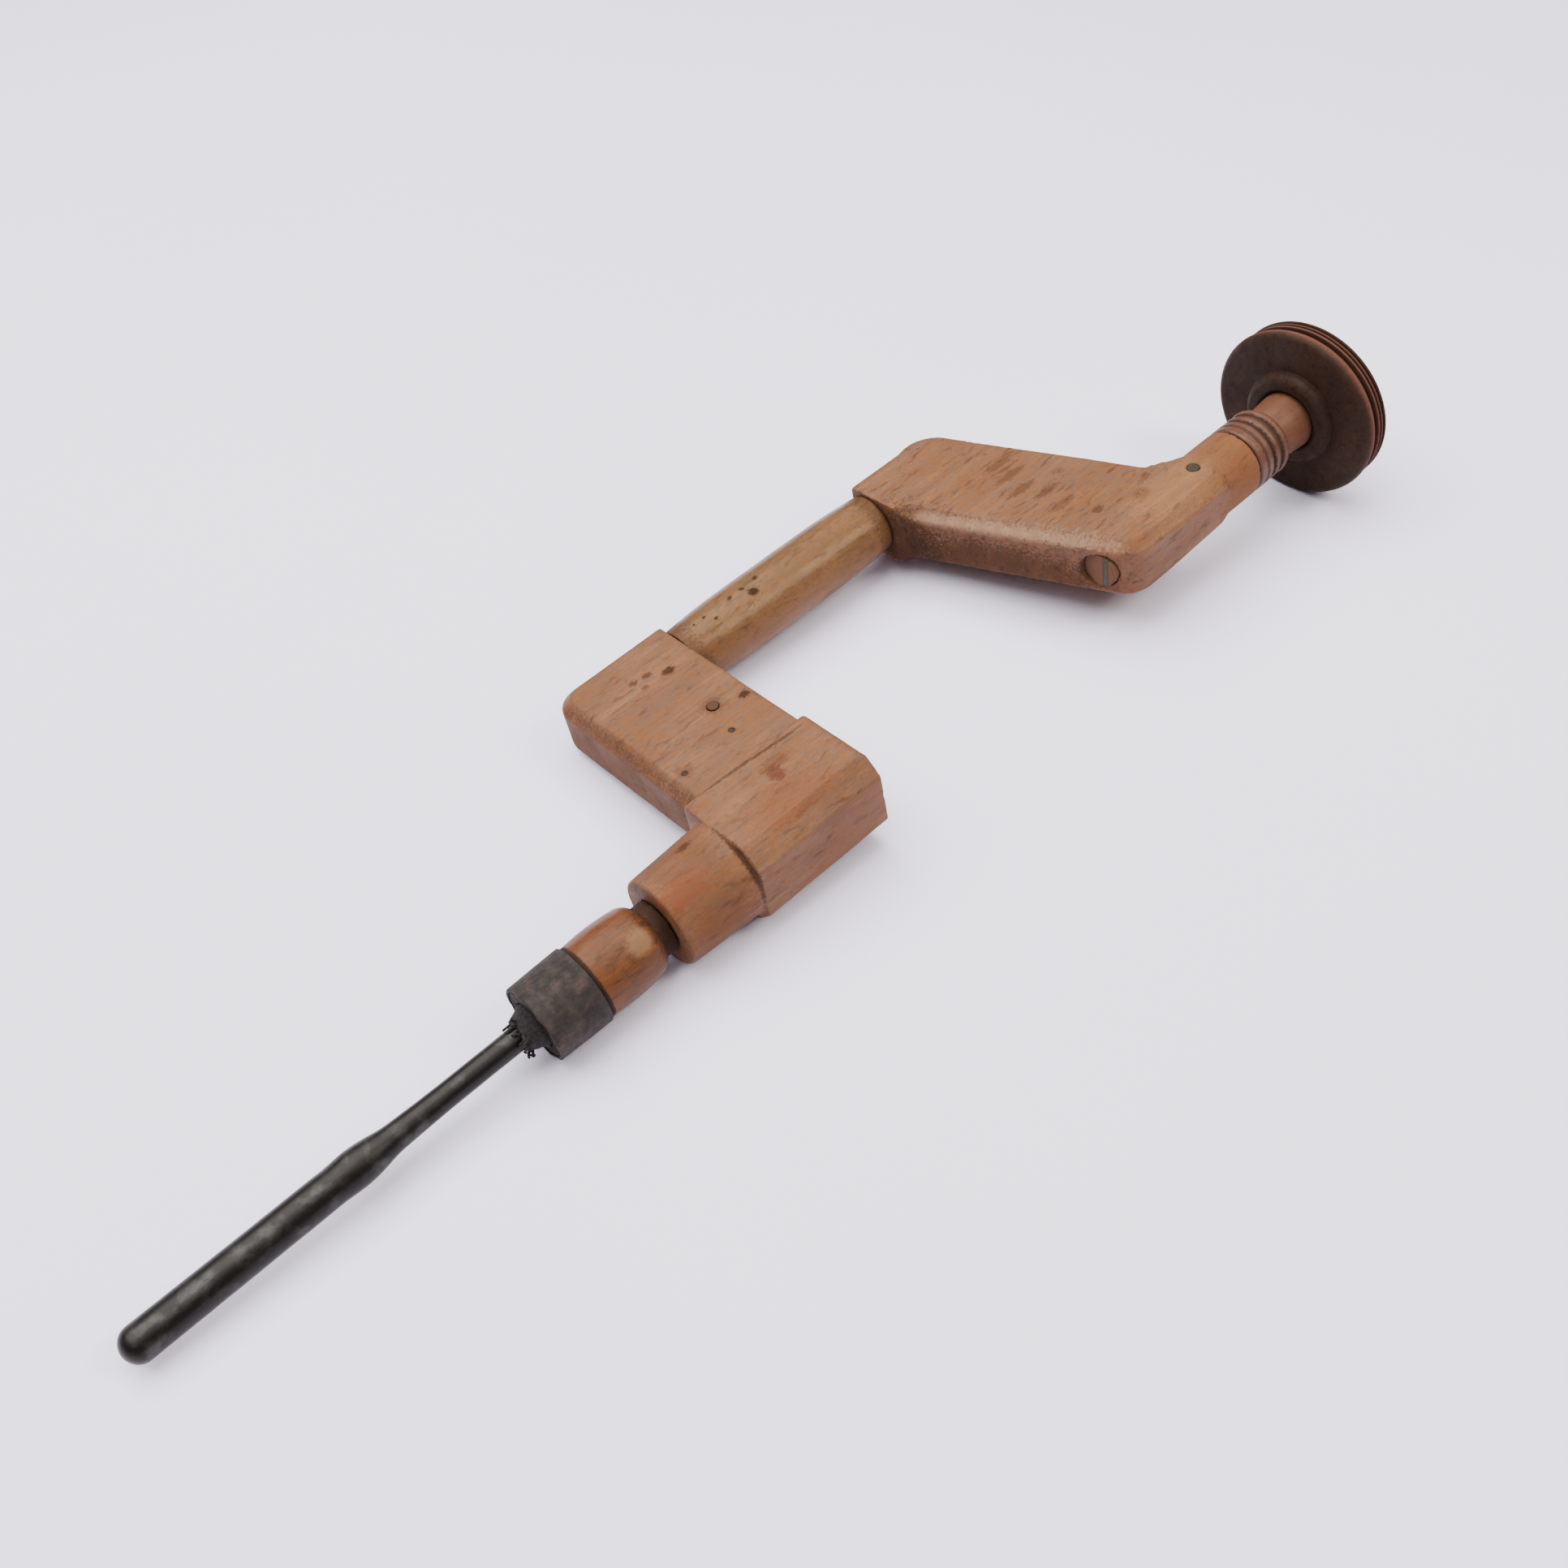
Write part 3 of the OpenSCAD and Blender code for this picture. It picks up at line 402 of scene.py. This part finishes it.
def worn_skin_tree():
    """Wears a finely meshed solid: its edges are rounded unevenly and chipped, and its faces get shallow waves.
    What the blur moves most is an edge."""
    tree, sockets = new_shape_tree("worn_skin", {
        "Edge rounding steps": "Int", "Least rounding": "Float", "Patch size": "Float", "Wave depth": "Float",
        "Wave length": "Float", "Chip depth": "Float", "Chip size": "Float", "Seed": "Float", "Material": "Material"})
    position = add_node(tree, "GeometryNodeInputPosition").outputs["Position"]
    normal = add_node(tree, "GeometryNodeInputNormal").outputs["Normal"]
    rounded = add_node(tree, "GeometryNodeBlurAttribute", {
        0: position, "Iterations": sockets["Edge rounding steps"]}, data_type="FLOAT_VECTOR").outputs["Value"]
    noises = {}
    for what, size in (("patches", "Patch size"), ("waves", "Wave length"), ("chips", "Chip size")):
        per_metre = add_node(tree, "ShaderNodeMath", {0: 1.0, 1: sockets[size]}, operation="DIVIDE")
        noises[what] = add_node(tree, "ShaderNodeTexNoise", {
            "Vector": position, "W": sockets["Seed"], "Scale": per_metre.outputs[0], "Detail": 1.0},
            noise_dimensions="4D").outputs[0]
    amount = add_node(tree, "ShaderNodeMapRange", {
        "Value": noises["patches"], "From Min": 0.38, "From Max": 0.62, "To Min": sockets["Least rounding"]})
    blend = add_node(tree, "ShaderNodeMix", {
        0: amount.outputs["Result"], 4: position, 5: rounded}, data_type="VECTOR")
    moved = add_node(tree, "ShaderNodeVectorMath", {0: rounded, 1: position}, operation="SUBTRACT")
    edge = add_node(tree, "ShaderNodeVectorMath", {0: moved.outputs["Vector"]}, operation="LENGTH")
    near_edge = add_node(tree, "ShaderNodeMapRange", {
        "Value": edge.outputs["Value"], "From Min": 0.1 * MM, "From Max": 0.35 * MM})
    torn = add_node(tree, "ShaderNodeMapRange", {"Value": noises["chips"], "From Min": 0.6, "From Max": 0.75})
    chip = add_node(tree, "ShaderNodeMath", {0: near_edge.outputs["Result"], 1: torn.outputs["Result"]},
                    operation="MULTIPLY")
    chip = add_node(tree, "ShaderNodeMath", {0: chip.outputs[0], 1: sockets["Chip depth"]}, operation="MULTIPLY")
    wave = add_node(tree, "ShaderNodeMath", {0: noises["waves"], 1: sockets["Wave depth"]}, operation="MULTIPLY")
    depth = add_node(tree, "ShaderNodeMath", {0: chip.outputs[0], 1: wave.outputs[0]}, operation="ADD")
    inward = add_node(tree, "ShaderNodeMath", {0: depth.outputs[0], 1: -1.0}, operation="MULTIPLY")
    offset = add_node(tree, "ShaderNodeVectorMath", {0: normal, "Scale": inward.outputs[0]}, operation="SCALE")
    worn = add_node(tree, "GeometryNodeSetPosition", {
        "Geometry": sockets["Geometry"], "Position": blend.outputs[1], "Offset": offset.outputs["Vector"]})
    finish_shape_tree(tree, sockets, worn.outputs["Geometry"])
    return tree


def torn_strands_tree():
    """Adds curled fibres to the mesh's front, each a tapered thread that starts on the surface."""
    tree, sockets = new_shape_tree("torn_strands", {
        "Front": "Float", "Strands per square metre": "Float", "Strand length": "Float", "Strand radius": "Float",
        "Curl": "Float", "Seed": "Int", "Material": "Material"})
    position = add_node(tree, "GeometryNodeInputPosition").outputs["Position"]
    across = add_node(tree, "ShaderNodeSeparateXYZ", {"Vector": position})
    on_front = add_node(tree, "ShaderNodeMath", {0: across.outputs["X"], 1: sockets["Front"]}, operation="LESS_THAN")
    roots = add_node(tree, "GeometryNodeDistributePointsOnFaces", {
        "Mesh": sockets["Geometry"], "Selection": on_front.outputs[0],
        "Density": sockets["Strands per square metre"], "Seed": sockets["Seed"]})
    reach = add_node(tree, "ShaderNodeCombineXYZ", {"Z": sockets["Strand length"]})
    thread = add_node(tree, "GeometryNodeCurvePrimitiveLine", {"End": reach.outputs["Vector"]})
    thread = add_node(tree, "GeometryNodeResampleCurve", {"Curve": thread.outputs["Curve"], "Count": 7})
    size = add_node(tree, "FunctionNodeRandomValue", {2: 0.45, 3: 1.0, "Seed": sockets["Seed"]})
    strands = add_node(tree, "GeometryNodeInstanceOnPoints", {
        "Points": roots.outputs["Points"], "Instance": thread.outputs["Curve"],
        "Rotation": roots.outputs["Rotation"], "Scale": size.outputs[1]})
    loose = add_node(tree, "GeometryNodeRealizeInstances", {"Geometry": strands.outputs["Instances"]})
    sway = add_node(tree, "ShaderNodeTexNoise", {"Vector": position, "Scale": 1 / (1.6 * MM), "Detail": 0.0})
    sway = add_node(tree, "ShaderNodeVectorMath", {0: sway.outputs["Color"], 1: (0.5, 0.5, 0.5)},
                    operation="SUBTRACT")
    along = add_node(tree, "GeometryNodeSplineParameter").outputs["Factor"]
    bend = add_node(tree, "ShaderNodeMath", {0: along, 1: sockets["Curl"]}, operation="MULTIPLY")
    offset = add_node(tree, "ShaderNodeVectorMath", {0: sway.outputs["Vector"], "Scale": bend.outputs[0]},
                      operation="SCALE")
    curled = add_node(tree, "GeometryNodeSetPosition", {
        "Geometry": loose.outputs["Geometry"], "Offset": offset.outputs["Vector"]})
    taper = add_node(tree, "ShaderNodeMapRange", {"Value": along, "To Min": 1.0, "To Max": 0.25})
    tapered = add_node(tree, "GeometryNodeSetCurveRadius", {
        "Curve": curled.outputs["Geometry"], "Radius": taper.outputs["Result"]})
    section = add_node(tree, "GeometryNodeCurvePrimitiveCircle", {
        "Resolution": 5, "Radius": sockets["Strand radius"]})
    threads = add_node(tree, "GeometryNodeCurveToMesh", {
        "Curve": tapered.outputs["Curve"], "Profile Curve": section.outputs["Curve"], "Fill Caps": True})
    joined = add_node(tree, "GeometryNodeJoinGeometry", {"Geometry": threads.outputs["Mesh"]})
    tree.links.new(sockets["Geometry"], joined.inputs["Geometry"])
    finish_shape_tree(tree, sockets, joined.outputs["Geometry"])
    return tree


def shaped(piece, tree, sizes):
    """Runs a tree on the piece and keeps its result as a plain mesh."""
    modifier = piece.modifiers.new(tree.name, "NODES")
    modifier.node_group = tree
    for item in tree.interface.items_tree:
        if item.name in sizes:
            modifier[item.identifier] = sizes[item.name]
    settled = piece.evaluated_get(bpy.context.evaluated_depsgraph_get())
    mesh = bpy.data.meshes.new_from_object(settled)
    piece.modifiers.clear()
    piece.data = mesh
    return piece


WORN_SKIN = worn_skin_tree()
MERGE_REACH = 0.002            # mm
PATCH_SIZE = 11                # mm, how far apart the more and the less rounded stretches of an edge lie


def worn_copy(node, mesh_mm, steps, least, wave, chip, seed):
    """Makes a finely meshed copy of a CAD node, with worn edges and hand-made faces."""
    merged = bmesh.new()
    merged.from_mesh(NODES[node].data)
    bmesh.ops.remove_doubles(merged, verts=merged.verts, dist=MERGE_REACH * MM)
    mesh = bpy.data.meshes.new("worn_" + node)
    merged.to_mesh(mesh)
    merged.free()
    piece = bpy.data.objects.new("worn_" + node, mesh)
    bpy.context.scene.collection.objects.link(piece)
    skin = piece.modifiers.new("skin", "REMESH")
    skin.mode = "VOXEL"
    skin.voxel_size = mesh_mm * MM
    shaped(piece, WORN_SKIN, {
        "Edge rounding steps": steps, "Least rounding": least, "Patch size": PATCH_SIZE * MM,
        "Wave depth": wave[0] * MM, "Wave length": wave[1] * MM, "Chip depth": chip[0] * MM,
        "Chip size": chip[1] * MM, "Seed": seed, "Material": MATERIALS[node]})
    return piece


def stand_for(piece, node, body):
    """Lets the piece ride its body in the place of the CAD node."""
    piece.data.name = piece.name
    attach(piece, body)
    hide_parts(node)


# Each piece: its body, mesh size, edge rounding steps, least rounding (a share of the most), then the depth and
# length of its waves, and the depth and size of its chips. All lengths are in mm.
WORN_PIECES = {
    "foot_block": ("frame", 0.62, 3, 0.2, (0.35, 26), (0.8, 3.0)),
    "lower_arm": ("frame", 0.62, 3, 0.2, (0.35, 24), (0.8, 3.0)),
    "upper_arm": ("frame", 0.62, 3, 0.2, (0.35, 25), (0.8, 3.0)),
    "grip": ("frame", 0.7, 1, 0.3, (0.3, 22), (0.0, 3.0)),
    "pad": ("pad", 0.5, 1, 0.2, (0.2, 16), (0.3, 2.5)),
    "ferrule": ("pad", 0.4, 1, 0.3, (0.3, 7), (0.5, 1.5)),
    "bit": ("pad", 0.45, 2, 0.3, (0.15, 14), (0.2, 1.5)),
    "tang_packing": ("pad", 0.4, 2, 0.3, (1.0, 3), (1.2, 1.5)),
}
worn = {}
for index, (node, (body, *skin)) in enumerate(WORN_PIECES.items()):
    worn[node] = worn_copy(node, *skin, seed=index * 1.3)

# The ferrule's front edge was cut by hand: it wanders by up to CUT_WANDER, and the metal behind it follows
CUT_WANDER = 1.2               # mm
CUT_REACH = 2.5                # mm behind the edge
CUT_STEP = 5                   # mm between a high and a low place of the edge
ferrule_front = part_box("ferrule")[0].x
for vertex in worn["ferrule"].data.vertices:
    reach = max(0.0, 1 - (vertex.co.x - ferrule_front) / (CUT_REACH * MM))
    uneven = 0.5 + 0.5 * noise.noise(Vector((3.1, vertex.co.y, vertex.co.z)) / (CUT_STEP * MM))
    vertex.co.x += CUT_WANDER * MM * reach * uneven

# The bit was forged by eye: its shank and the neck of its spoon are stouter than a regular one.
# Each row is a place along X in mm and how much wider the bit is there.
STOUTNESS = [
    (-212, 1.10), (-190, 1.08), (-135, 1.07), (-120, 1.22), (-110, 1.24), (-101, 1.17), (-92, 1.13), (-56, 1.13)]
places, widths = zip(*STOUTNESS)
for vertex in worn["bit"].data.vertices:
    wider = float(np.interp(vertex.co.x / MM, places, widths))
    vertex.co.y *= wider
    vertex.co.z *= wider

# The leather's torn end hangs out of the ferrule as short fibres
TORN_END = 1.6                 # mm, the length of leather that the fibres grow from
shaped(worn["tang_packing"], torn_strands_tree(), {
    "Front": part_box("tang_packing")[0].x + TORN_END * MM, "Strands per square metre": 230000.0,
    "Strand length": 3.2 * MM, "Strand radius": 0.45 * MM, "Curl": 4.0 * MM, "Seed": 4,
    "Material": MATERIALS["tang_packing"]})

for node, piece in worn.items():
    stand_for(piece, node, WORN_PIECES[node][0])


# ---------------------------------------------------------------- camera, floor and light

# The camera was fitted to marks on the photo
FRAME_PIXELS = 1932
FOCAL_PIXELS = 2015.8
SENSOR = 36.0
CAMERA_PLACE = (-150.6, -334.79, 433.51)
CAMERA_RIGHT = (0.7277, -0.6663, -0.1626)
CAMERA_BACK = (-0.3717, -0.5824, 0.7230)
camera_data = bpy.data.cameras.new("camera")
camera_data.sensor_fit = "HORIZONTAL"
camera_data.sensor_width = SENSOR
camera_data.lens = FOCAL_PIXELS / FRAME_PIXELS * SENSOR
camera_data.clip_start = 0.02
camera_data.clip_end = 20.0
camera = bpy.data.objects.new("camera", camera_data)
right = Vector(CAMERA_RIGHT).normalized()
back = Vector(CAMERA_BACK).normalized()
up = back.cross(right).normalized()
right = up.cross(back)
turn = Matrix((right, up, back)).transposed().to_4x4()
camera.matrix_world = Matrix.Translation(Vector(CAMERA_PLACE) * MM) @ turn
bpy.context.scene.collection.objects.link(camera)
bpy.context.scene.camera = camera

# The brace lies on the lower arm's corner, the head's rim and the foot's edge, so the floor is tilted
FLOOR_HEIGHT = -19.27                 # mm, at the origin
FLOOR_SLOPE_X = -0.0525
FLOOR_SLOPE_Y = 0.0777
FLOOR_REACH = 6000                    # mm
floor_mesh = bpy.data.meshes.new("floor")
corners = []
for side_x, side_y in ((-1, -1), (1, -1), (1, 1), (-1, 1)):
    x, y = side_x * FLOOR_REACH, side_y * FLOOR_REACH
    z = FLOOR_HEIGHT + FLOOR_SLOPE_X * x + FLOOR_SLOPE_Y * y
    corners.append([x * MM, y * MM, z * MM])
floor_mesh.from_pydata(corners, [], [(0, 1, 2, 3)])
floor = bpy.data.objects.new("floor", floor_mesh)
bpy.context.scene.collection.objects.link(floor)
# Matt paper backdrop: nearly white with a breath of violet, and faintly cloudy
paper = bpy.data.materials.new("paper_backdrop_matt")
paper.use_nodes = True
paper.node_tree.nodes.clear()
cloudy = add_node(paper.node_tree, "ShaderNodeTexNoise", {
    "Vector": add_node(paper.node_tree, "ShaderNodeTexCoord").outputs["Object"], "Scale": 1 / (240 * MM)})
tint = add_node(paper.node_tree, "ShaderNodeMix", {
    0: cloudy.outputs["Fac"], 6: linear("#eae4f6"), 7: linear("#efe9fa")}, data_type="RGBA")
sheet = add_node(paper.node_tree, "ShaderNodeBsdfPrincipled", {"Base Color": tint.outputs[2], "Roughness": 0.9})
add_node(paper.node_tree, "ShaderNodeOutputMaterial", {"Surface": sheet.outputs["BSDF"]})
floor_mesh.materials.append(paper)

# The room itself gives a faint even glow
ROOM_GLOW = 0.14
world = bpy.data.worlds.new("studio")
world.use_nodes = True
room = world.node_tree.nodes["Background"]
room.inputs["Color"].default_value = linear("#e6e6ec")
room.inputs["Strength"].default_value = ROOM_GLOW
bpy.context.scene.world = world


def soft_light(name, place, target, width, power, colour):
    """Hangs a square soft box: place and target in mm, width in metres, power in watts."""
    lamp = bpy.data.lights.new(name, "AREA")
    lamp.shape = "RECTANGLE"
    lamp.size = lamp.size_y = width
    lamp.energy = power
    lamp.color = linear(colour)[:3]
    light = bpy.data.objects.new(name, lamp)
    light.location = Vector(place) * MM
    light.rotation_euler = ((Vector(place) - Vector(target)) * MM).to_track_quat("Z", "Y").to_euler()
    bpy.context.scene.collection.objects.link(light)


soft_light("overhead_light", (-40, 400, 1455), (60, 30, 0), 1.7, 54, "#ffffff")
soft_light("ceiling_light", (100, 100, 2200), (100, 0, 0), 4.0, 104, "#ffffff")
soft_light("front_light", (800, -860, 960), (60, 30, 0), 0.5, 14, "#fffaf2")
